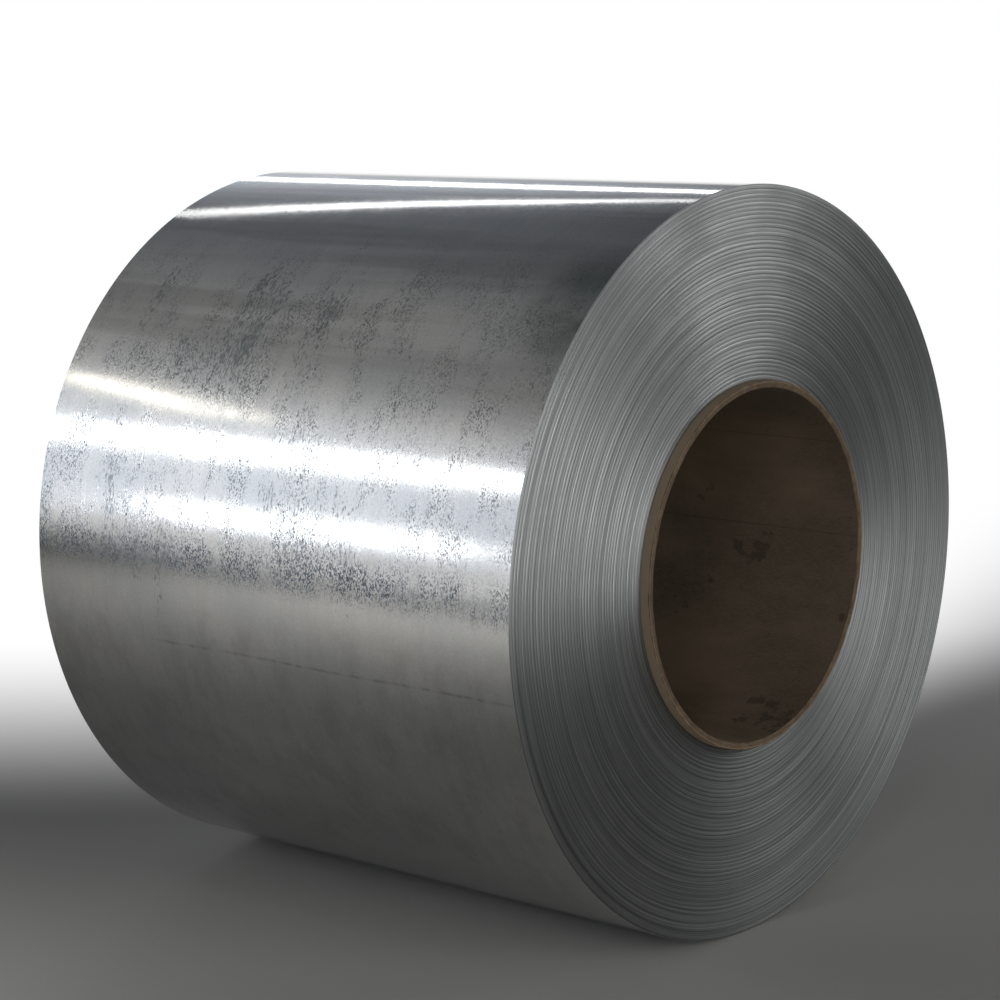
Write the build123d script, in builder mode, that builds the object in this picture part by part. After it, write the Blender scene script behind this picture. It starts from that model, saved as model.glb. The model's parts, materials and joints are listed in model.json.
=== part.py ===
"""Coil of galvanised steel strip, wound on a fibre core tube and lying on its side.

The frame: X runs along the coil's axis, Z is up, and the origin is on the floor under the coil's middle.
The strip wanders from side to side while it is wound, so its edges draw rings on both ends of the coil.
A group of turns that stands out at one end stands in at the other, because the strip is equally wide all along.
Lengths are in millimetres and angles in degrees.
"""

import os
from math import cos, radians, sin

from build123d import *

# Strip
strip_width = 914.0
strip_thickness = 1.5

# Winding: the turns in a group, and the groups between the eye and the outermost turns
turns_in_group = 13
group_count = 14
outermost_turns = 2

# How far a group lies to one side at most, and the share of it by which the groups differ
edge_weave = 1.5
uneven_weave_share = 0.6
uneven_step_angle = 137.5

# Outer end of the strip, a step across the barrel low down at the back, from the level at +Y
tail_angle = -50.0

# Core tube
core_bore_diameter = 508.0
core_wall = 10.0
core_stand_out = 15.0
core_rim_bevel = 1.5
core_clearance = 0.3

# Sizes that follow
core_bore_radius = core_bore_diameter / 2
core_radius = core_bore_radius + core_wall
core_length = strip_width + 2 * core_stand_out
eye_radius = core_radius + core_clearance
group_depth = strip_thickness * turns_in_group
grouped_radius = eye_radius + group_count * group_depth
coil_radius = grouped_radius + outermost_turns * strip_thickness
coil_axis = Axis((0, 0, coil_radius), (1, 0, 0))
tail_direction = (0, cos(radians(tail_angle)), sin(radians(tail_angle)))
tail_plane = Plane(origin=coil_axis.position, x_dir=tail_direction, z_dir=coil_axis.direction)


def group_shift(group):
    """How far a group of turns lies towards +X, to one side and the other in turn and by uneven amounts."""
    side = 1 if group % 2 else -1
    unevenness = (1 + sin(radians(group * uneven_step_angle))) / 2
    return side * edge_weave * (1 - uneven_weave_share * unevenness)


# Wound strip: the groups of turns are turned about the axis as one stepped section
with BuildPart() as steel_coil:
    with BuildSketch(Plane.XZ) as turned_section:
        for group in range(group_count):
            middle_radius = eye_radius + (group + 0.5) * group_depth
            with Locations((group_shift(group), coil_radius + middle_radius)):
                Rectangle(strip_width, group_depth)
    revolve(axis=coil_axis)

    # The outermost turns end the spiral: their outside loses one strip thickness in a turn, down to the tail's step.
    # Two half circles make that spiral, the second about a centre half a thickness away from the axis.
    with BuildSketch(tail_plane) as outermost_section:
        with BuildLine():
            CenterArc((0, 0), coil_radius, 0, -180)
            CenterArc((-strip_thickness / 2, 0), coil_radius - strip_thickness / 2, 180, -180)
            Line((coil_radius - strip_thickness, 0), (coil_radius, 0))
        make_face()
        Circle(grouped_radius, mode=Mode.SUBTRACT)
    extrude(amount=strip_width / 2, both=True)

# Core tube: it stands out of both ends of the coil, and its rims are bevelled
with BuildPart() as core_tube:
    with BuildSketch(Plane.XZ) as tube_section:
        with Locations((0, coil_radius + core_bore_radius + core_wall / 2)):
            Rectangle(core_length, core_wall)
        chamfer(tube_section.vertices(), core_rim_bevel)
    revolve(axis=coil_axis)

steel_coil.part.label = "steel_coil"
core_tube.part.label = "core_tube"

os.makedirs("parts", exist_ok=True)
export_step(steel_coil.part, "parts/steel_coil.step")
export_step(core_tube.part, "parts/core_tube.step")
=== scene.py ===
"""Looks of a steel coil: galvanised strip wound on a fibre core tube, lying on its side on a pale floor.

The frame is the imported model's: X runs along the coil's axis, Z is up, and the floor is at zero.
The camera sees the end at +X and the side of the barrel at -Y. Lengths are in metres and angles in degrees.
A rise is an angle about the axis in radians, from the level at -Y upwards.
A fade is the range that a value passes through and, where they aren't 0 and 1, the results at its two ends.
A noise is a scale, a detail and a roughness. A stretch scales the place of a pattern along each axis.
"""

import json
import math
import random

import bmesh
import bpy
from mathutils import Matrix, Vector, noise


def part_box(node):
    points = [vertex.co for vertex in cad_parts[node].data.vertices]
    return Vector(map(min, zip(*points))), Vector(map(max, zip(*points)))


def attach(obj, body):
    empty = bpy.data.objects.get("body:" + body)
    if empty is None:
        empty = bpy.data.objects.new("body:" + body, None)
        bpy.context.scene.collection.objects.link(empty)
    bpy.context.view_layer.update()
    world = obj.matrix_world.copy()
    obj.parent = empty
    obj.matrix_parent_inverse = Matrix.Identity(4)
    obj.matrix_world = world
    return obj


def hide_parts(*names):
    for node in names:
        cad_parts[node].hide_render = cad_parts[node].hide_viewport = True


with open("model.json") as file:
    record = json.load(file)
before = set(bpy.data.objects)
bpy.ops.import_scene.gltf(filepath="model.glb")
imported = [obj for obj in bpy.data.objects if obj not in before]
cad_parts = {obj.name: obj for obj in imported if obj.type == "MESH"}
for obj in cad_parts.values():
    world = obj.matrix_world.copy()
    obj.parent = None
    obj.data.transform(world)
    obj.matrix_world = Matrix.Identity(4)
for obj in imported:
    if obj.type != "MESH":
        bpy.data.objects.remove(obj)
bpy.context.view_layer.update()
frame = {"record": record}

# Sizes that the frame gives
tube_low, tube_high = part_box("core_tube")
eye_mount = frame["record"]["mounts"][0]
millimetre = 0.001
axis_height = eye_mount["pos_m"][2]
core_bore_radius = eye_mount["dims"]["r_mm"] * millimetre
core_radius = (tube_high[2] - tube_low[2]) / 2
core_length = tube_high[0] - tube_low[0]
coil_radius = axis_height
axis_point = Vector((0, 0, axis_height))
axis_direction = Vector((1, 0, 0))
full_turn = 2 * math.pi

# Strip and its winding: each ridge on an end is a group of turns
strip_width = 0.914
strip_thickness = 0.0015
core_clearance = 0.0003
eye_radius = core_radius + core_clearance
ridge_count = 46
ridge_height = 0.00031
ridge_uneven_share = 0.25
ridge_wander = 0.00012
ridge_wander_turns = 1.6
ridge_weave = 0.0001
shoulder_shares = (0.2, 0.8)
shoulder_height_share = 0.8
crest_share = 0.5
winding_steps = 216

# A corner this share of a ridge before a valley still counts to the next ridge
valley_share = 0.1

# Rim, where the ends fall away to the barrel
rim_width = 0.002
rim_fall = 0.0007
rim_support = 0.003
ridge_pitch = (coil_radius - rim_width - eye_radius) / ridge_count

# The barrel is a little out of round, in long shallow waves that reach a few turns deep
barrel_divisions = 24
barrel_wave = 0.0003
barrel_wave_length = 0.26
outer_turns = 4

# Outer end of the strip, from the level at +Y, and the share of a column that its step takes up
tail_angle = -50
tail_step_share = 0.02

# Core tube
ply_count = 5
ply_groove = 0.0005
ply_groove_depth = 0.001
tube_rim_bevel = 0.0012
tube_steps = 192
tube_divisions = 8
lip_depth = 0.0036
lip_fray = 0.0014
lip_fray_turns = 9
lip_fray_noise = (1, 2, 4)

# Meshes
random_seed = 5
merge_distance = 0.00001
sharp_angle = 22
end_facing_share = 0.5

# Zinc sheet: where it is worn, and a line in the worn part left free of flecks, a painted highlight where a
# reflected streak falls
worn_low_fade = (-0.08, 0.06)
worn_high_fade = (1.1, 0.75)
worn_along_fade = (0.40, -0.05, 0.55, 1)
highlight_line_rise = 0.395
highlight_line_slope = -0.19
highlight_line_fade = (0.015, 0.06, 0.1, 1)
highlight_along_fade = (-0.12, 0.08)
level_low_fade = (-0.05, 0.01)
level_high_fade = (0.12, 0.05)
cloud_stretch = (2.2, 1, 1)
cloud_noise = (10, 5, 0.66)
cloud_worn_fade = (0.44, 0.62, 0.04, 1)
level_cloud_fade = (0.34, 0.54, 0.2, 1)

# Zinc sheet: crystals, of which some are dark flecks, and short dashes
crystal_stretch = (1.9, 1, 1)
crystal_scale = 400
crystal_middle = (0.5, 0.5, 0.5)
crystal_tilt = 0.010
worn_tilt = 0.03
fleck_tilt = 0.12
level_choice_share = 0.10
level_fleck_share = 0.1
fleck_choice_fade = (0.64, 0.70)
fleck_rise_fade = (0.3, 0.6, 0.85, 0.5)
dash_stretch = (3, 1, 1)
dash_speck_scale = 120
dash_patch_scale = 4.5
dash_cover = 0.02
worn_dash_cover = 0.17
dash_share = 0.75

# Zinc sheet: tone, grain, streaks along the strip and bands along the barrel
tone_stretch = (1, 1.6, 1.6)
tone_noise = (5, 6, 0.62)
tone_fade = (0.36, 0.64)
grain_noise = (420, 2, 0.6)
grain_fade = (0.3, 0.7, 0, 0.34)
streak_stretch = (60, 1.2, 1.2)
streak_noise = (1, 3, 0.6)
streak_fade = (0.3, 0.7, 0, 0.14)
# Darker patches below the level at -Y, more towards the bottom of the barrel
dark_patch_stretch = (1.6, 1, 1)
dark_patch_noise = (13, 6, 0.7)
dark_patch_fade = (0.42, 0.68, 0, 0.4)
low_patch_rise_fade = (0, -0.2)
band_stretch = (1.2, 24, 24)
band_noise = (1, 3, 0.5)
band_fade = (0.42, 0.66, 0, 0.5)
band_rise_fade = (0.4, 0.7)
band_height = 0.00006
band_strength = 0.5

# Zinc sheet: a faint dark line along the barrel, painted shade of a crease, and a stain near the rim
crease_rise = -0.213
crease_wander = 0.02
crease_fade = (0.0010, 0.0060, 1, 0)
crease_along_fade = (-0.30, -0.12)
crease_streak_fade = (0.35, 0.65, 0.06, 0.35)
stain_along = 0.45
stain_rise = 0.80
stain_fade = (0.14, 0.03)
stain_tone_fade = (0.35, 0.6, 0.4, 1)

# Zinc sheet: gloss and colours
sheet_roughness_fade = (0.35, 0.65, 0.12, 0.16)
top_gloss_fade = (0.9, 1.1, 1, 0.55)
cool_zinc = (0.53, 0.535, 0.535, 1)
warm_zinc = (0.60, 0.59, 0.575, 1)
grey_zinc = (0.36, 0.37, 0.37, 1)
low_patch_grey = (0.33, 0.33, 0.32, 1)
band_grey = (0.30, 0.30, 0.29, 1)
stain_grey = (0.17, 0.20, 0.19, 1)
crease_shade_grey = (0.12, 0.12, 0.12, 1)
dash_grey = (0.17, 0.19, 0.20, 1)
fleck_grey = (0.10, 0.12, 0.145, 1)

# Strip edges on the ends: lines for each metre of radius, and painted shade in the valleys between ridges
line_density = 640
line_noise = (1, 3, 0.7)
line_fade = (0.3, 0.7)
line_height = 0.0002
line_strength = 0.3
scratch_noise = (0.35, 2, 0.6)
scratch_fade = (0.60, 0.68, 0, 0.4)
loose_turn_noise = (0.12, 2, 0.6)
half_ridge_share = 0.5
valley_shade_fade = (0.04, 0.12, 1, 0)
valley_shade_turn_fade = (0.42, 0.66, 0.25, 0.75)
smudge_noise = (7, 4, 0.6)
smudge_fade = (0.4, 0.75, 0, 0.3)
edge_roughness_fade = (0.3, 0.7, 0.38, 0.46)
edge_grain = 0.8
edge_grain_turn_share = 0.25
dark_edge = (0.20, 0.21, 0.21, 1)
light_edge = (0.44, 0.45, 0.445, 1)
smudge_grey = (0.18, 0.19, 0.185, 1)
scratch_grey = (0.10, 0.105, 0.105, 1)
valley_shade_grey = (0.07, 0.075, 0.075, 1)

# Specks that gather in patches, on the sheet and on the paper
speck_detail = (4, 0.62)
patch_detail = (3, 0.55)
patch_weight = 0.9
speck_limit = 1.25
speck_fade = (0, 0.07)

# Paper of the tube's walls, with seams at shares of the radius above the axis; the bore's paper, kraft
# brown, is darker than the outer paper in part as painted shade
paper_tone_stretch = (0.5, 1, 1)
paper_tone_noise = (6, 4, 0.6)
paper_tone_fade = (0.35, 0.7)
fibre_stretch = (40, 160, 160)
fibre_noise = (3, 3, 0.6)
fibre_fade = (0.3, 0.7, 0, 0.25)
fibre_height = 0.0006
fibre_strength = 0.35
paper_speck_scale = 30
paper_patch_scale = 7
paper_stain_cover = 0.16
paper_stain_share = 0.5
seam_height_shares = (0.04, 0.62)
seam_fade = (0.002, 0.006, 0.55, 0)
outer_paper_depths = (0.004, 0.002)
outer_paper_share = 0.85
paper_roughness = 0.8
paper_gloss = 0.25
dark_paper_with_bore_shade = (0.16, 0.122, 0.082, 1)
light_paper_with_bore_shade = (0.30, 0.225, 0.15, 1)
outer_paper = (0.44, 0.345, 0.235, 1)
fibre_tan = (0.36, 0.28, 0.20, 1)
paper_stain_brown = (0.06, 0.048, 0.036, 1)
seam_brown = (0.05, 0.04, 0.03, 1)

# Plies on the tube's cut ends
ply_noise = (60, 4, 0.65)
ply_fade = (0.3, 0.7)
ply_height = 0.0008
ply_strength = 0.6
ply_roughness = 0.9
ply_gloss = 0.2
dark_ply = (0.11, 0.072, 0.048, 1)
light_ply = (0.25, 0.175, 0.115, 1)

# Floor: it runs out into white, nearer or farther by the direction's share along X
floor_radius = 60
floor_sides = 64
floor_colour = (0.60, 0.59, 0.565, 1)
floor_roughness = 0.9
floor_gloss = 0.1
floor_fade = (2.2, 8)
floor_stretch_fade = (-0.78, -0.62, 0.7, 1.3)
left_stretch_fade = (-0.85, -0.95, 0, 0.6)
backdrop_direction = (-0.7, 0.7, 0)
backdrop_fade = (0.35, 1.9)

# Backdrop all round: white, but dim to the right of the coil, by the direction's shares along X and Y
right_backdrop_fade = (-0.35, 0, 1, 0.15)
front_backdrop_fade = (-0.05, -0.35)

# Studio walls, by the direction's shares along each axis
dim_overhead = 0.04
pale_overhead_fade = (-0.5, -0.3, 0, 0.15)
wall_near_fade = (-0.50, -0.68)
wall_far_fade = (-0.90, -0.76)
wall_height_fade = (0.30, 0.64, 1.38, 0.32)
wall_back_fade = (-0.35, 0.3, 1, 0.42)
horizon_fade = (0.08, 0.22, 1, 0)
front_direction = (0.64, -0.75, 0.16)
front_light_fade = (0.88, 0.985, 0, 0.4)
cool_back_fade = (-0.2, 0.4)
cool_back_height_fade = (0.1, 0.25)
cool_front_fade = (0.1, -0.3)
cool_front_height_fade = (0.55, 0.3)
cool_front_share = 0.8
plain_white = (1, 1, 1, 1)
cool_white = (0.91, 0.97, 1.07, 1)

# Lamps: one over the floor in front, panels before the end, a narrow beam into the eye,
# and strips that the barrel mirrors
cream_light = (1, 0.93, 0.80)
lamps = {
    "front_overhead": {
        "start": (-1.75, -2.3, 3.05), "end": (-0.2, -1.95, 3.05), "height": 0.7,
        "target": (-0.97, -2.12, 0), "radiance": 38, "spread": 55,
    },
    "end_panel": {
        "start": (2.95, -0.5, 0.75), "end": (2.7, 0.9, 0.75), "height": 1.5,
        "target": (0.46, -0.1, 0.6), "radiance": 4.2, "spread": 64,
    },
    "side_panel": {
        "start": (2.7, 0.9, 0.75), "end": (2.45, 2.3, 0.75), "height": 1.5,
        "target": (0.46, -0.1, 0.6), "radiance": 1.9, "spread": 64,
    },
    "back_panel": {
        "start": (3.6, 2.6, 1.6), "end": (2.4, 3.5, 1.6), "height": 1.2,
        "target": (0.46, 0, 0.8), "radiance": 3.6, "spread": 64,
    },
    "eye_fill": {
        "start": (1.8, -4.5, 2.4), "end": (3.4, -3.7, 2.4), "height": 1.2,
        "target": (0.46, 0, 0.55), "radiance": 9, "spread": 16,
    },
    "upper_strip": {
        "start": (-2.98, -2.27, 1.60), "end": (-1.86, -3.26, 2.10), "height": 0.26,
        "target": (0, -0.51, 0.71), "radiance": 6, "spread": 32,
    },
    "lower_strip": {
        "start": (-2.46, -2.66, 0.78), "end": (-1.90, -3.18, 0.86), "height": 0.23,
        "target": (0.09, -0.53, 0.62), "radiance": 5, "spread": 32,
    },
    "cream_strip": {
        "start": (-3.00, -1.98, 2.39), "end": (-2.67, -2.54, 2.31), "height": 0.11,
        "target": (-0.26, -0.49, 0.77), "radiance": 4, "spread": 32, "colour": cream_light,
    },
    "back_strip": {
        "start": (-3.38, 2.31, 2.12), "end": (-2.05, 3.37, 2.58), "height": 0.25,
        "target": (0, -0.10, 1.07), "radiance": 5, "spread": 32,
    },
    "slanted_strip": {
        "start": (-3.41, 1.12, 3.36), "end": (-2.18, 3.00, 3.08), "height": 0.14,
        "target": (0, -0.2, 1.04), "radiance": 4, "spread": 32,
    },
}

# Camera, at the angle that the coil is seen from
camera_place = (2.6192, -3.1130, 1.2058)
camera_tilt = 81.3756
camera_turn = 40.2274
camera_lens = 96.82

random.seed(random_seed)


# Turned meshes

def turned_shape(section, steps):
    """A closed section of places along the axis and radii, turned about the axis."""
    shape = bmesh.new()
    corners = [shape.verts.new((along, 0, axis_height + radius)) for along, radius in section]
    sides = [shape.edges.new(pair) for pair in zip(corners, corners[1:] + corners[:1])]
    bmesh.ops.spin(
        shape, geom=corners + sides, cent=axis_point, axis=axis_direction,
        angle=full_turn, steps=steps, use_merge=True,
    )
    bmesh.ops.remove_doubles(shape, verts=shape.verts, dist=merge_distance)
    bmesh.ops.recalc_face_normals(shape, faces=shape.faces)
    return shape


def turned_place(corner):
    """A corner's radius from the axis, and its angle from the level at +Y."""
    up = corner.co.z - axis_height
    return math.hypot(corner.co.y, up), math.atan2(up, corner.co.y)


def set_turned_place(corner, radius, angle):
    """Moves a corner to another radius and angle about the axis."""
    corner.co.y = radius * math.cos(angle)
    corner.co.z = axis_height + radius * math.sin(angle)


def mark_ends(shape):
    """Gives the faces that look along the axis the second material."""
    shape.normal_update()
    for face in shape.faces:
        face.material_index = 1 if abs(face.normal.x) > end_facing_share else 0


def finish_piece(name, shape, materials, node):
    """Makes the shape a smooth piece with sharp edges, which stands for a node of the frame."""
    mesh = bpy.data.meshes.new(name)
    shape.to_mesh(mesh)
    shape.free()
    mesh.shade_smooth()
    mesh.set_sharp_from_angle(angle=math.radians(sharp_angle))
    for material in materials:
        mesh.materials.append(material)
    piece = bpy.data.objects.new(name, mesh)
    bpy.context.scene.collection.objects.link(piece)
    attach(piece, "root")
    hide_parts(node)


# Wound strip

def end_section(side):
    """One end from the eye outwards: a row of low, nearly flat ridges with narrow valleys between them."""
    section = []
    for ridge in range(ridge_count):
        height = ridge_height * (1 + ridge_uneven_share * random.uniform(-1, 1))
        weave = ridge_weave * random.uniform(-1, 1)
        valley = side * (strip_width / 2 - ridge_height + weave)
        start = eye_radius + ridge * ridge_pitch
        shoulder = valley + side * height * shoulder_height_share
        section.append((valley, start))
        section.append((shoulder, start + ridge_pitch * shoulder_shares[0]))
        section.append((valley + side * height, start + ridge_pitch * crest_share))
        section.append((shoulder, start + ridge_pitch * shoulder_shares[1]))
    return section


def coil_section():
    """The strip's outline through the axis: out along one end, over the barrel and back along the other."""
    near = end_section(1)
    far = end_section(-1)
    rim = strip_width / 2 - ridge_height / 2
    near_rim = [(rim, coil_radius - rim_width)]
    far_rim = [(-rim, coil_radius - rim_width)]
    barrel_end = rim - rim_fall
    barrel_half = barrel_end - rim_support
    barrel = [
        (barrel_half * (1 - 2 * division / barrel_divisions), coil_radius)
        for division in range(barrel_divisions + 1)
    ]
    barrel = [(barrel_end, coil_radius)] + barrel + [(-barrel_end, coil_radius)]
    return near + near_rim + barrel + far_rim + far[::-1]


def spiral_drop(angle):
    """How far the outermost turn lies below the full radius: up to one thickness, at the tail's step."""
    turned_share = ((math.radians(tail_angle) - angle) % full_turn) / full_turn
    return strip_thickness * turned_share


def wound_strip(materials):
    """The wound strip, with its ridged ends, its spiral outermost turn and its wavy barrel."""
    shape = turned_shape(coil_section(), winding_steps)
    column_angle = full_turn / winding_steps
    outer_depth = outer_turns * strip_thickness
    for corner in shape.verts:
        radius, angle = turned_place(corner)
        columns_past_tail = ((angle - math.radians(tail_angle)) % full_turn) / column_angle
        if round(columns_past_tail) % winding_steps == 1:
            angle -= column_angle * (1 - tail_step_share)
        outer_share = min(1, max(0, 1 + (radius - coil_radius) / outer_depth))
        wave_place = corner.co / barrel_wave_length
        wave = barrel_wave * (noise.noise(wave_place) - 1) / 2
        ridge = math.floor((radius - eye_radius) / ridge_pitch + valley_share)
        turned = Vector((math.cos(angle), math.sin(angle), 0)) * ridge_wander_turns
        wander = noise.noise(turned + Vector((0, 0, ridge * ridge_wander_turns)))
        corner.co.x += ridge_wander * wander * (1 - outer_share)
        set_turned_place(corner, radius + outer_share * (wave - spiral_drop(angle)), angle)
    mark_ends(shape)
    finish_piece("wound_strip", shape, materials, "steel_coil")


# Core tube

def tube_section():
    """The tube's outline through the axis, with a groove between the plies on its ends."""
    half = core_length / 2
    wall = core_radius - core_bore_radius
    ply = wall / ply_count
    end = [(half - tube_rim_bevel, core_bore_radius), (half, core_bore_radius + tube_rim_bevel)]
    for seam in range(1, ply_count):
        seam_radius = core_bore_radius + seam * ply
        end.append((half, seam_radius - ply_groove))
        end.append((half - ply_groove_depth, seam_radius))
        end.append((half, seam_radius + ply_groove))
    end.append((half, core_radius - tube_rim_bevel))
    end.append((half - tube_rim_bevel, core_radius))
    far_end = [(-along, radius) for along, radius in reversed(end)]
    inside = half - tube_rim_bevel
    lengths = [inside * (1 - 2 * division / tube_divisions) for division in range(1, tube_divisions)]
    outer_wall = [(along, core_radius) for along in lengths]
    bore_wall = [(-along, core_bore_radius) for along in lengths]
    return end + outer_wall + far_end + bore_wall


def core_tube(materials):
    """The fibre tube, with plies and a worn lip on its ends."""
    shape = turned_shape(tube_section(), tube_steps)
    lip_start = core_length / 2 - lip_depth
    for corner in shape.verts:
        if abs(corner.co.x) < lip_start:
            continue
        radius, angle = turned_place(corner)
        turned = Vector((math.cos(angle), math.sin(angle), radius / core_radius)) * lip_fray_turns
        wear = noise.fractal(turned, *lip_fray_noise)
        corner.co.x -= math.copysign(lip_fray * max(0, wear), corner.co.x)
    mark_ends(shape)
    finish_piece("core_tube_fibre", shape, materials, "core_tube")


# Shader helpers

def add_node(tree, kind, **settings):
    """A new node with its settings."""
    node = tree.nodes.new(kind)
    for name, value in settings.items():
        setattr(node, name, value)
    return node


def feed(tree, socket, source):
    """Links a source to an input, or sets the input's plain value."""
    if isinstance(source, bpy.types.NodeSocket):
        tree.links.new(source, socket)
    else:
        socket.default_value = source


def calculate(tree, operation, *sources):
    """The result of a Math node."""
    node = add_node(tree, "ShaderNodeMath", operation=operation)
    for socket, source in zip(node.inputs, sources):
        feed(tree, socket, source)
    return node.outputs[0]


def smooth_range(tree, value, low, high, low_result=0, high_result=1):
    """A value brought from one range to another along a smooth step."""
    node = add_node(tree, "ShaderNodeMapRange", interpolation_type="SMOOTHSTEP")
    for name, source in {
        "Value": value, "From Min": low, "From Max": high, "To Min": low_result, "To Max": high_result,
    }.items():
        feed(tree, node.inputs[name], source)
    return node.outputs["Result"]


def noise_value(tree, place, scale, detail, roughness):
    """The value of a noise texture."""
    node = add_node(tree, "ShaderNodeTexNoise")
    for name, source in {"Vector": place, "Scale": scale, "Detail": detail, "Roughness": roughness}.items():
        feed(tree, node.inputs[name], source)
    return node.outputs["Fac"]


def scaled_place(tree, place, scale):
    """A place with each of its axes scaled."""
    node = add_node(tree, "ShaderNodeMapping")
    feed(tree, node.inputs["Vector"], place)
    node.inputs["Scale"].default_value = scale
    return node.outputs["Vector"]


def stretched_noise(tree, place, stretch, settings):
    """The value of a noise texture that is stretched along the axes."""
    return noise_value(tree, scaled_place(tree, place, stretch), *settings)


def distance_from(tree, value, middle):
    """How far a value lies from another one, either way."""
    return calculate(tree, "ABSOLUTE", calculate(tree, "SUBTRACT", value, middle))


def mix_colour(tree, share, first, second):
    """A mix of two colours."""
    node = add_node(tree, "ShaderNodeMix", data_type="RGBA")
    feed(tree, node.inputs["Factor"], share)
    feed(tree, node.inputs["A"], first)
    feed(tree, node.inputs["B"], second)
    return node.outputs["Result"]


def raised(tree, height, strength, distance, normal=None):
    """The normal that a height gives."""
    node = add_node(tree, "ShaderNodeBump")
    feed(tree, node.inputs["Height"], height)
    node.inputs["Strength"].default_value = strength
    node.inputs["Distance"].default_value = distance
    if normal is not None:
        tree.links.new(normal, node.inputs["Normal"])
    return node.outputs["Normal"]


def new_material(name):
    """A material, its node tree and its shader."""
    material = bpy.data.materials.new(name)
    material.use_nodes = True
    return material, material.node_tree, material.node_tree.nodes["Principled BSDF"]


def group_node(tree, group, **sources):
    """The outputs of a node group placed in a tree, with its inputs fed by name."""
    node = add_node(tree, "ShaderNodeGroup", node_tree=group)
    for name, source in sources.items():
        feed(tree, node.inputs[name.replace("_", " ").capitalize()], source)
    return node.outputs


def new_group(name, inputs, outputs):
    """An empty node group with named sockets, its input and output nodes."""
    group = bpy.data.node_groups.new(name, "ShaderNodeTree")
    for socket, kind in inputs.items():
        group.interface.new_socket(socket, in_out="INPUT", socket_type="NodeSocket" + kind)
    for socket, kind in outputs.items():
        group.interface.new_socket(socket, in_out="OUTPUT", socket_type="NodeSocket" + kind)
    return group, add_node(group, "NodeGroupInput"), add_node(group, "NodeGroupOutput")


def place_about_axis():
    """Group: the place from the axis's middle, its length along the axis, radius, rise and direction."""
    group, _, result = new_group(
        "place_about_axis", {},
        {"Place": "Vector", "Along": "Float", "Radius": "Float", "Rise": "Float", "Outwards": "Vector"},
    )
    coordinates = add_node(group, "ShaderNodeTexCoord")
    centred = add_node(group, "ShaderNodeMapping")
    centred.inputs["Location"].default_value = -axis_point
    feed(group, centred.inputs["Vector"], coordinates.outputs["Object"])
    parts = add_node(group, "ShaderNodeSeparateXYZ")
    feed(group, parts.inputs["Vector"], centred.outputs["Vector"])
    along, across, up = parts.outputs
    across_squared = calculate(group, "MULTIPLY", across, across)
    radius_squared = calculate(group, "MULTIPLY_ADD", up, up, across_squared)
    sideways = add_node(group, "ShaderNodeCombineXYZ")
    feed(group, sideways.inputs["Y"], across)
    feed(group, sideways.inputs["Z"], up)
    outwards = add_node(group, "ShaderNodeVectorMath", operation="NORMALIZE")
    feed(group, outwards.inputs[0], sideways.outputs["Vector"])
    towards_side = calculate(group, "MULTIPLY", across, -1)
    feed(group, result.inputs["Place"], centred.outputs["Vector"])
    feed(group, result.inputs["Along"], along)
    feed(group, result.inputs["Radius"], calculate(group, "SQRT", radius_squared))
    feed(group, result.inputs["Rise"], calculate(group, "ARCTAN2", up, towards_side))
    feed(group, result.inputs["Outwards"], outwards.outputs["Vector"])
    return group


def speckles():
    """Group: a mask of small specks that gather in patches."""
    group, given, result = new_group(
        "speckles",
        {"Place": "Vector", "Speck scale": "Float", "Patch scale": "Float", "Cover": "Float"},
        {"Specks": "Float"},
    )
    specks = noise_value(group, given.outputs["Place"], given.outputs["Speck scale"], *speck_detail)
    patches = noise_value(group, given.outputs["Place"], given.outputs["Patch scale"], *patch_detail)
    gathered = calculate(group, "MULTIPLY_ADD", patches, patch_weight, specks)
    limit = calculate(group, "SUBTRACT", speck_limit, given.outputs["Cover"])
    above = calculate(group, "SUBTRACT", gathered, limit)
    feed(group, result.inputs["Specks"], smooth_range(group, above, *speck_fade))
    return group


about_axis = place_about_axis()
speckle_group = speckles()


# Zinc sheet

def worn_side(tree, where):
    """How worn the sheet is: on the side at -Y, less towards the near end, and not along a line where a
    reflected streak falls, which is left free of flecks as a painted highlight.
    """
    low = smooth_range(tree, where["Rise"], *worn_low_fade)
    high = smooth_range(tree, where["Rise"], *worn_high_fade)
    along = smooth_range(tree, where["Along"], *worn_along_fade)
    # Painted highlight: the sheet is kept free of wear and flecks along the line where a reflected streak
    # falls, on the far half
    highlight_rise = calculate(tree, "MULTIPLY_ADD", where["Along"], highlight_line_slope, highlight_line_rise)
    beside_highlight = smooth_range(tree, distance_from(tree, where["Rise"], highlight_rise), *highlight_line_fade)
    past_highlight = smooth_range(tree, where["Along"], *highlight_along_fade)
    worn = calculate(tree, "MULTIPLY", calculate(tree, "MULTIPLY", low, high), along)
    return calculate(tree, "MULTIPLY", worn, calculate(tree, "MAXIMUM", beside_highlight, past_highlight))


def level_band(tree, where):
    """A band of wear along the barrel, just above the level at -Y."""
    low = smooth_range(tree, where["Rise"], *level_low_fade)
    high = smooth_range(tree, where["Rise"], *level_high_fade)
    return calculate(tree, "MULTIPLY", low, high)


def crease_shade_line(tree, where, tone, streaks):
    """A faint broken line of painted shade along the barrel, where a crease lies below the level at -Y."""
    crease_start = crease_rise - crease_wander / 2
    rise_here = calculate(tree, "MULTIPLY_ADD", tone, crease_wander, crease_start)
    line = smooth_range(tree, distance_from(tree, where["Rise"], rise_here), *crease_fade)
    line = calculate(tree, "MULTIPLY", line, smooth_range(tree, where["Along"], *crease_along_fade))
    return calculate(tree, "MULTIPLY", line, smooth_range(tree, streaks, *crease_streak_fade))


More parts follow.
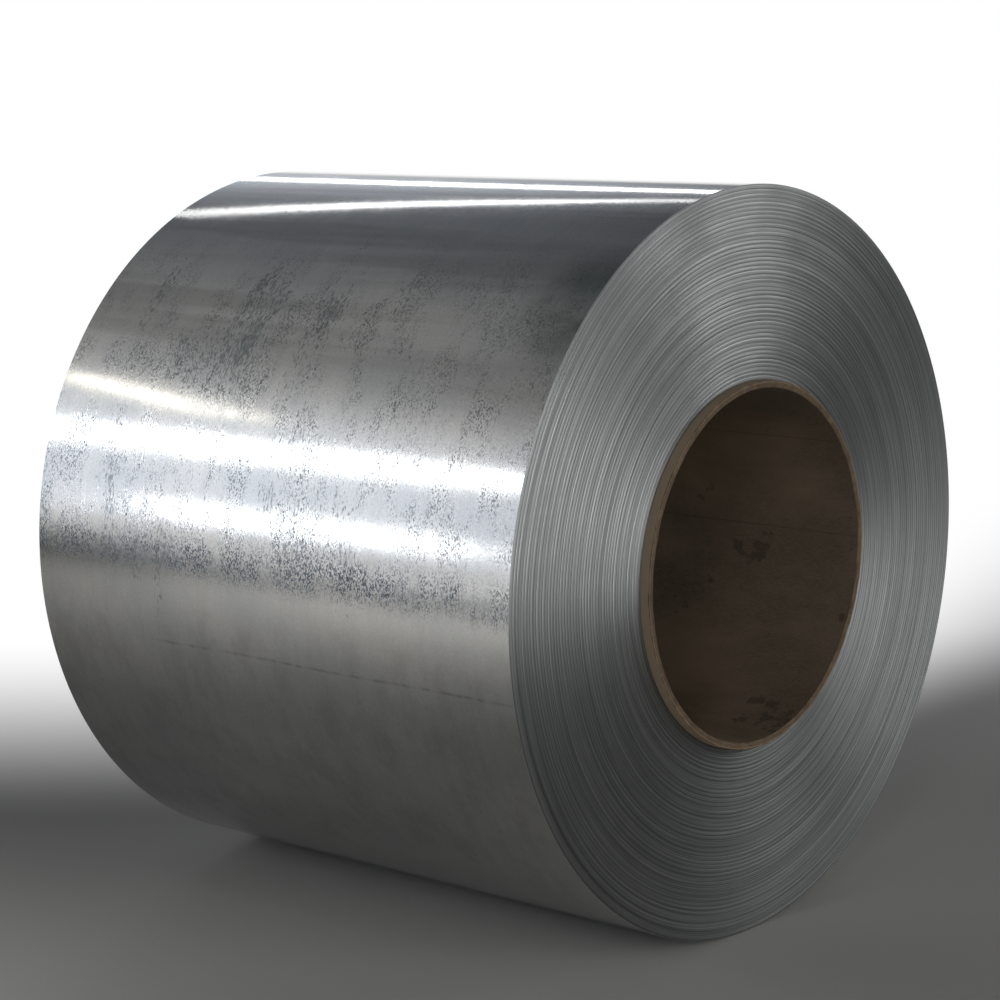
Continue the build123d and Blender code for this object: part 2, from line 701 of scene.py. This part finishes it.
def rim_stain(tree, where, tone):
    """A dark stain on the sheet, near the rim of the near end."""
    rise_offset = calculate(tree, "SUBTRACT", where["Rise"], stain_rise)
    offset = add_node(tree, "ShaderNodeCombineXYZ")
    feed(tree, offset.inputs["X"], calculate(tree, "SUBTRACT", where["Along"], stain_along))
    feed(tree, offset.inputs["Y"], calculate(tree, "MULTIPLY", rise_offset, coil_radius))
    distance = add_node(tree, "ShaderNodeVectorMath", operation="LENGTH")
    feed(tree, distance.inputs[0], offset.outputs["Vector"])
    stain = smooth_range(tree, distance.outputs["Value"], *stain_fade)
    return calculate(tree, "MULTIPLY", stain, smooth_range(tree, tone, *stain_tone_fade))


def tilted_normal(tree, crystals, tilt):
    """The surface's normal, tilted a little another way on each crystal."""
    either_way = add_node(tree, "ShaderNodeVectorMath", operation="SUBTRACT")
    feed(tree, either_way.inputs[0], crystals.outputs["Color"])
    either_way.inputs[1].default_value = crystal_middle
    scaled = add_node(tree, "ShaderNodeVectorMath", operation="SCALE")
    feed(tree, scaled.inputs[0], either_way.outputs["Vector"])
    feed(tree, scaled.inputs["Scale"], tilt)
    tilted = add_node(tree, "ShaderNodeVectorMath", operation="ADD")
    feed(tree, tilted.inputs[0], scaled.outputs["Vector"])
    feed(tree, tilted.inputs[1], add_node(tree, "ShaderNodeNewGeometry").outputs["Normal"])
    normal = add_node(tree, "ShaderNodeVectorMath", operation="NORMALIZE")
    feed(tree, normal.inputs[0], tilted.outputs["Vector"])
    return normal.outputs["Vector"]


def galvanised_sheet():
    """The outside of the strip: shiny zinc of tilted crystals, with dark flecks, streaks and bands."""
    material, tree, shader = new_material("galvanised_sheet")
    where = group_node(tree, about_axis)
    place = where["Place"]

    # Wear, in clouds
    side = worn_side(tree, where)
    level = level_band(tree, where)
    clouds = stretched_noise(tree, place, cloud_stretch, cloud_noise)
    side_wear = calculate(tree, "MULTIPLY", smooth_range(tree, clouds, *cloud_worn_fade), side)
    level_wear = calculate(tree, "MULTIPLY", level, smooth_range(tree, clouds, *level_cloud_fade))
    worn = calculate(tree, "MAXIMUM", side_wear, level_wear)

    # Crystals, and the flecks among them
    crystals = add_node(tree, "ShaderNodeTexVoronoi")
    feed(tree, crystals.inputs["Vector"], scaled_place(tree, place, crystal_stretch))
    crystals.inputs["Scale"].default_value = crystal_scale
    chance = add_node(tree, "ShaderNodeSeparateColor")
    feed(tree, chance.inputs["Color"], crystals.outputs["Color"])
    chosen = calculate(tree, "MULTIPLY_ADD", level, level_choice_share, chance.outputs["Red"])
    flecks = calculate(tree, "MULTIPLY", smooth_range(tree, chosen, *fleck_choice_fade), worn)
    tilt = calculate(tree, "MULTIPLY_ADD", worn, worn_tilt, crystal_tilt)
    tilt = calculate(tree, "MULTIPLY_ADD", flecks, fleck_tilt, tilt)
    dashes = group_node(
        tree, speckle_group, place=scaled_place(tree, place, dash_stretch),
        speck_scale=dash_speck_scale, patch_scale=dash_patch_scale,
        cover=calculate(tree, "MULTIPLY_ADD", side, worn_dash_cover, dash_cover),
    )

    # Patterns of the whole sheet
    tone = stretched_noise(tree, place, tone_stretch, tone_noise)
    grain = noise_value(tree, place, *grain_noise)
    streaks = stretched_noise(tree, place, streak_stretch, streak_noise)
    bands = stretched_noise(tree, place, band_stretch, band_noise)
    # Darker patches, only below the level at -Y and more towards the bottom
    dark_patches = smooth_range(tree, stretched_noise(tree, place, dark_patch_stretch, dark_patch_noise), *dark_patch_fade)
    low_dark_patches = calculate(tree, "MULTIPLY", dark_patches, smooth_range(tree, where["Rise"], *low_patch_rise_fade))
    band_dark = smooth_range(tree, bands, *band_fade)
    high_bands = calculate(tree, "MULTIPLY", band_dark, smooth_range(tree, where["Rise"], *band_rise_fade))

    # Colour, from the zinc to what lies on it
    colour = mix_colour(tree, smooth_range(tree, tone, *tone_fade), cool_zinc, warm_zinc)
    colour = mix_colour(tree, smooth_range(tree, grain, *grain_fade), colour, grey_zinc)
    colour = mix_colour(tree, smooth_range(tree, streaks, *streak_fade), colour, grey_zinc)
    colour = mix_colour(tree, low_dark_patches, colour, low_patch_grey)
    colour = mix_colour(tree, high_bands, colour, band_grey)
    colour = mix_colour(tree, rim_stain(tree, where, tone), colour, stain_grey)
    # Painted shade of a crease, as a dark line
    colour = mix_colour(tree, crease_shade_line(tree, where, tone, streaks), colour, crease_shade_grey)
    colour = mix_colour(tree, calculate(tree, "MULTIPLY", dashes["Specks"], dash_share), colour, dash_grey)
    fleck_share = smooth_range(tree, where["Rise"], *fleck_rise_fade)
    fleck_share = calculate(tree, "MULTIPLY_ADD", level, level_fleck_share, fleck_share)
    colour = mix_colour(tree, calculate(tree, "MULTIPLY", flecks, fleck_share), colour, fleck_grey)
    feed(tree, shader.inputs["Base Color"], colour)

    # Gloss, which is clearer on top
    shader.inputs["Metallic"].default_value = 1
    roughness = smooth_range(tree, clouds, *sheet_roughness_fade)
    roughness = calculate(tree, "MULTIPLY", roughness, smooth_range(tree, where["Rise"], *top_gloss_fade))
    feed(tree, shader.inputs["Roughness"], roughness)
    normal = tilted_normal(tree, crystals, tilt)
    feed(tree, shader.inputs["Normal"], raised(tree, bands, band_strength, band_height, normal))
    return material


# Strip edges

def strip_edges():
    """The ends of the coil: the cut edges of the turns, with fine lines, and shade painted dark in the
    valleys between ridges.
    """
    material, tree, shader = new_material("strip_edges")
    where = group_node(tree, about_axis)
    across_lines = add_node(tree, "ShaderNodeCombineXYZ")
    feed(tree, across_lines.inputs["X"], calculate(tree, "MULTIPLY", where["Radius"], line_density))
    line_place = add_node(tree, "ShaderNodeVectorMath", operation="ADD")
    feed(tree, line_place.inputs[0], across_lines.outputs["Vector"])
    feed(tree, line_place.inputs[1], where["Outwards"])
    lines = noise_value(tree, line_place.outputs["Vector"], *line_noise)
    scratches = noise_value(tree, line_place.outputs["Vector"], *scratch_noise)
    loose_turns = noise_value(tree, line_place.outputs["Vector"], *loose_turn_noise)
    smudges = noise_value(tree, where["Place"], *smudge_noise)
    # Painted shade: the valleys between ridges are darker, more where the turns lie loose
    ridges = calculate(tree, "DIVIDE", calculate(tree, "SUBTRACT", where["Radius"], eye_radius), ridge_pitch)
    valley_shade = smooth_range(tree, calculate(tree, "PINGPONG", ridges, half_ridge_share), *valley_shade_fade)
    valley_shade = calculate(tree, "MULTIPLY", valley_shade, smooth_range(tree, loose_turns, *valley_shade_turn_fade))
    colour = mix_colour(tree, smooth_range(tree, lines, *line_fade), dark_edge, light_edge)
    colour = mix_colour(tree, smooth_range(tree, smudges, *smudge_fade), colour, smudge_grey)
    colour = mix_colour(tree, smooth_range(tree, scratches, *scratch_fade), colour, scratch_grey)
    colour = mix_colour(tree, valley_shade, colour, valley_shade_grey)
    feed(tree, shader.inputs["Base Color"], colour)
    feed(tree, shader.inputs["Roughness"], smooth_range(tree, smudges, *edge_roughness_fade))
    feed(tree, shader.inputs["Normal"], raised(tree, lines, line_strength, line_height))
    shader.inputs["Metallic"].default_value = 1

    # The lines run round the axis, so the gloss spreads across them
    round_axis = add_node(tree, "ShaderNodeTangent", direction_type="RADIAL", axis="X")
    feed(tree, shader.inputs["Tangent"], round_axis.outputs["Tangent"])
    shader.inputs["Anisotropic"].default_value = edge_grain
    shader.inputs["Anisotropic Rotation"].default_value = edge_grain_turn_share
    return material


# Paper of the core tube

def fibre_wall():
    """The tube's paper walls: brown, with stains, seams along it and fine fibres; the bore's paper is darker
    than the outside, in part as painted shade.
    """
    material, tree, shader = new_material("fibre_wall")
    where = group_node(tree, about_axis)
    place = where["Place"]
    stains = group_node(
        tree, speckle_group, place=place, speck_scale=paper_speck_scale, patch_scale=paper_patch_scale,
        cover=paper_stain_cover,
    )
    tone = stretched_noise(tree, place, paper_tone_stretch, paper_tone_noise)
    fibres = stretched_noise(tree, place, fibre_stretch, fibre_noise)
    stain_share = calculate(tree, "MULTIPLY", stains["Specks"], paper_stain_share)
    colour = mix_colour(tree, smooth_range(tree, tone, *paper_tone_fade), dark_paper_with_bore_shade, light_paper_with_bore_shade)
    colour = mix_colour(tree, smooth_range(tree, fibres, *fibre_fade), colour, fibre_tan)
    colour = mix_colour(tree, stain_share, colour, paper_stain_brown)
    turned = add_node(tree, "ShaderNodeSeparateXYZ")
    feed(tree, turned.inputs["Vector"], where["Outwards"])
    for seam_height in seam_height_shares:
        seam = smooth_range(tree, distance_from(tree, turned.outputs["Z"], seam_height), *seam_fade)
        colour = mix_colour(tree, calculate(tree, "MULTIPLY", seam, tone), colour, seam_brown)
    # The outer paper is lighter; the bore's darker paper is kraft brown with painted shade in the bore
    outer_start, outer_end = (core_radius - depth for depth in outer_paper_depths)
    outside = smooth_range(tree, where["Radius"], outer_start, outer_end)
    outer_colour = mix_colour(tree, outer_paper_share, colour, outer_paper)
    feed(tree, shader.inputs["Base Color"], mix_colour(tree, outside, colour, outer_colour))
    feed(tree, shader.inputs["Normal"], raised(tree, fibres, fibre_strength, fibre_height))
    shader.inputs["Roughness"].default_value = paper_roughness
    shader.inputs["Specular IOR Level"].default_value = paper_gloss
    return material


def fibre_plies():
    """The tube's cut ends: plies of paper, redder and rougher than the walls."""
    material, tree, shader = new_material("fibre_plies")
    tone = noise_value(tree, group_node(tree, about_axis)["Place"], *ply_noise)
    colour = mix_colour(tree, smooth_range(tree, tone, *ply_fade), dark_ply, light_ply)
    feed(tree, shader.inputs["Base Color"], colour)
    feed(tree, shader.inputs["Normal"], raised(tree, tone, ply_strength, ply_height))
    shader.inputs["Roughness"].default_value = ply_roughness
    shader.inputs["Specular IOR Level"].default_value = ply_gloss
    return material


# Studio

def seen_rays(tree):
    """One for the rays that show the background: the camera's, and those of gloss and of clear pieces."""
    rays = add_node(tree, "ShaderNodeLightPath")
    seen = calculate(tree, "MAXIMUM", rays.outputs["Is Camera Ray"], rays.outputs["Is Glossy Ray"])
    return calculate(tree, "MAXIMUM", seen, rays.outputs["Is Transmission Ray"])


def backdrop_level(tree, along, across):
    """How bright the backdrop is in a direction, by its shares along X and Y."""
    right = smooth_range(tree, along, *right_backdrop_fade)
    return calculate(tree, "MAXIMUM", right, smooth_range(tree, across, *front_backdrop_fade))


def pale_floor():
    """A wide pale floor that runs out into white, also in the steel's reflections."""
    shape = bmesh.new()
    bmesh.ops.create_circle(shape, cap_ends=True, segments=floor_sides, radius=floor_radius)
    mesh = bpy.data.meshes.new("floor")
    shape.to_mesh(mesh)
    shape.free()
    floor = bpy.data.objects.new("floor", mesh)
    bpy.context.scene.collection.objects.link(floor)
    material, tree, shader = new_material("pale_floor")
    mesh.materials.append(material)
    shader.inputs["Base Color"].default_value = floor_colour
    shader.inputs["Roughness"].default_value = floor_roughness
    shader.inputs["Specular IOR Level"].default_value = floor_gloss

    # Where the floor is far enough away to be white
    coordinates = add_node(tree, "ShaderNodeTexCoord")
    distance = add_node(tree, "ShaderNodeVectorMath", operation="LENGTH")
    feed(tree, distance.inputs[0], coordinates.outputs["Object"])
    parts = add_node(tree, "ShaderNodeSeparateXYZ")
    feed(tree, parts.inputs["Vector"], coordinates.outputs["Object"])
    along = calculate(tree, "DIVIDE", parts.outputs["X"], distance.outputs["Value"])
    across = calculate(tree, "DIVIDE", parts.outputs["Y"], distance.outputs["Value"])
    stretch = smooth_range(tree, along, *floor_stretch_fade)
    stretch = calculate(tree, "ADD", stretch, smooth_range(tree, along, *left_stretch_fade))
    far = smooth_range(tree, calculate(tree, "MULTIPLY", distance.outputs["Value"], stretch), *floor_fade)
    behind = add_node(tree, "ShaderNodeVectorMath", operation="DOT_PRODUCT")
    feed(tree, behind.inputs[0], coordinates.outputs["Object"])
    behind.inputs[1].default_value = backdrop_direction
    far = calculate(tree, "MAXIMUM", far, smooth_range(tree, behind.outputs["Value"], *backdrop_fade))

    # The near floor keeps its own colour and the coil's shadow
    white = add_node(tree, "ShaderNodeEmission")
    feed(tree, white.inputs["Strength"], backdrop_level(tree, along, across))
    blend = add_node(tree, "ShaderNodeMixShader")
    feed(tree, blend.inputs[0], calculate(tree, "MULTIPLY", far, seen_rays(tree)))
    feed(tree, blend.inputs[1], shader.outputs["BSDF"])
    feed(tree, blend.inputs[2], white.outputs["Emission"])
    feed(tree, tree.nodes["Material Output"].inputs["Surface"], blend.outputs["Shader"])


def studio_walls():
    """The world: white along the horizon, a wall beyond the far end that dims upwards, and dim elsewhere."""
    world = bpy.data.worlds.new("studio_walls")
    bpy.context.scene.world = world
    world.use_nodes = True
    tree = world.node_tree
    coordinates = add_node(tree, "ShaderNodeTexCoord")
    parts = add_node(tree, "ShaderNodeSeparateXYZ")
    feed(tree, parts.inputs["Vector"], coordinates.outputs["Generated"])
    along, across, up = parts.outputs

    # Wall beyond the far end
    wall_near = smooth_range(tree, along, *wall_near_fade)
    wall = calculate(tree, "MULTIPLY", wall_near, smooth_range(tree, along, *wall_far_fade))
    wall = calculate(tree, "MULTIPLY", wall, smooth_range(tree, up, *wall_height_fade))
    wall = calculate(tree, "MULTIPLY", wall, smooth_range(tree, across, *wall_back_fade))
    wall = calculate(tree, "ADD", wall, dim_overhead)

    # Horizon, a soft light from the front, and what only the background's rays see overhead
    horizon = smooth_range(tree, up, *horizon_fade)
    horizon = calculate(tree, "MULTIPLY", horizon, backdrop_level(tree, along, across))
    towards_front = add_node(tree, "ShaderNodeVectorMath", operation="DOT_PRODUCT")
    feed(tree, towards_front.inputs[0], coordinates.outputs["Generated"])
    towards_front.inputs[1].default_value = front_direction
    front_light = smooth_range(tree, towards_front.outputs["Value"], *front_light_fade)
    overhead = calculate(tree, "MULTIPLY", seen_rays(tree), smooth_range(tree, along, *pale_overhead_fade))
    level = calculate(tree, "MAXIMUM", calculate(tree, "MAXIMUM", wall, horizon), front_light)
    level = calculate(tree, "MAXIMUM", level, overhead)

    # A cooler tint at the back and low in front
    back = smooth_range(tree, across, *cool_back_fade)
    back = calculate(tree, "MULTIPLY", back, smooth_range(tree, up, *cool_back_height_fade))
    front = smooth_range(tree, across, *cool_front_fade)
    front = calculate(tree, "MULTIPLY", front, smooth_range(tree, up, *cool_front_height_fade))
    cool = calculate(tree, "MAXIMUM", back, calculate(tree, "MULTIPLY", front, cool_front_share))
    feed(tree, tree.nodes["Background"].inputs["Color"], mix_colour(tree, cool, plain_white, cool_white))
    feed(tree, tree.nodes["Background"].inputs["Strength"], level)


def softbox(name, start, end, height, target, radiance, spread, colour=(1, 1, 1)):
    """A rectangular lamp between two places, turned to a target. A mirror before it shows its radiance."""
    middle = (Vector(start) + Vector(end)) / 2
    width = Vector(end) - Vector(start)
    backwards = middle - Vector(target)
    sideways = width.normalized()
    backwards = (backwards - backwards.dot(sideways) * sideways).normalized()
    lamp = bpy.data.lights.new(name, "AREA")
    lamp.shape = "RECTANGLE"
    lamp.size = width.length
    lamp.size_y = height
    lamp.color = colour
    lamp.spread = math.radians(spread)
    narrowed_share = 1 - lamp.spread / 2 / math.tan(lamp.spread / 2)
    lamp.energy = radiance * math.pi * width.length * height * narrowed_share
    stand = bpy.data.objects.new(name, lamp)
    turned = Matrix((sideways, backwards.cross(sideways), backwards)).transposed().to_4x4()
    stand.matrix_world = Matrix.Translation(middle) @ turned
    bpy.context.scene.collection.objects.link(stand)


def photo_camera():
    """The camera, at the photograph's viewing angle."""
    camera = bpy.data.objects.new("camera", bpy.data.cameras.new("camera"))
    camera.location = camera_place
    camera.rotation_euler = (math.radians(camera_tilt), 0, math.radians(camera_turn))
    camera.data.lens = camera_lens
    bpy.context.scene.collection.objects.link(camera)
    bpy.context.scene.camera = camera


wound_strip([galvanised_sheet(), strip_edges()])
core_tube([fibre_wall(), fibre_plies()])
pale_floor()
studio_walls()
for lamp_name, settings in lamps.items():
    softbox(lamp_name, **settings)
photo_camera()
bpy.context.scene.view_settings.view_transform = "Standard"
